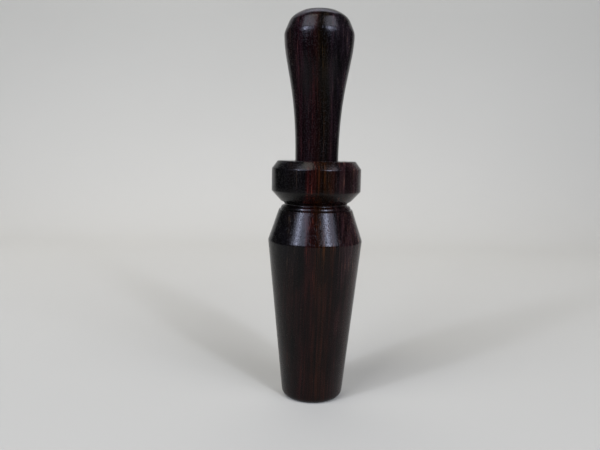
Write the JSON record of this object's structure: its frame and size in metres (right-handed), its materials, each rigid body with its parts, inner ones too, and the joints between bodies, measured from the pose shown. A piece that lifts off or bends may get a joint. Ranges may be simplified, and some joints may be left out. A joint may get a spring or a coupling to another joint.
{
  "type": "duck call",
  "caption": "Turned dark hardwood duck call: tapered barrel with collar and lanyard groove, flared push-in insert, and a plastic reed wedged on a curved toneboard.",
  "frame": {"origin": "on the call's axis, in the plane of the mouthpiece's rim, which is the face it stands on", "axes": "+Z along the axis from the mouthpiece to the bell; -Y is the side that the reed faces"},
  "size_m": [0.035, 0.035, 0.1417],
  "materials": {
    "rosewood": "semi-gloss lacquer over dark, red-brown streaked rosewood",
    "black_rubber": "moulded, slightly waxed",
    "polyester_film": "clear to milky polyester film",
    "cork": "natural cut cork"
  },
  "bodies": {
    "barrel": {"barrel": "rosewood"},
    "seal_rings": {"seal_ring_lower": "black_rubber", "seal_ring_upper": "black_rubber"},
    "insert": {"insert": "rosewood", "cork_wedge": "cork"},
    "reed": {"reed": "polyester_film"}
  },
  "joints": [
    {"name": "insert_slide", "type": "slide", "parent": "barrel", "child": "seal_rings", "axis": [0, 0, 1], "range_m": [-0.0035, 0.067]},
    {"name": "insert_turn", "type": "hinge", "parent": "seal_rings", "child": "insert", "pos_m": [0, 0, 0.08], "axis": [0, 0, 1], "continuous": true},
    {"name": "reed_flex", "type": "hinge", "parent": "insert", "child": "reed", "pos_m": [0, -0.00241, 0.0535], "axis": [1, 0, 0], "range_deg": [0, 3.2], "stiffness_Nm_per_rad": 0.012, "deforming": ["reed"]}
  ]
}
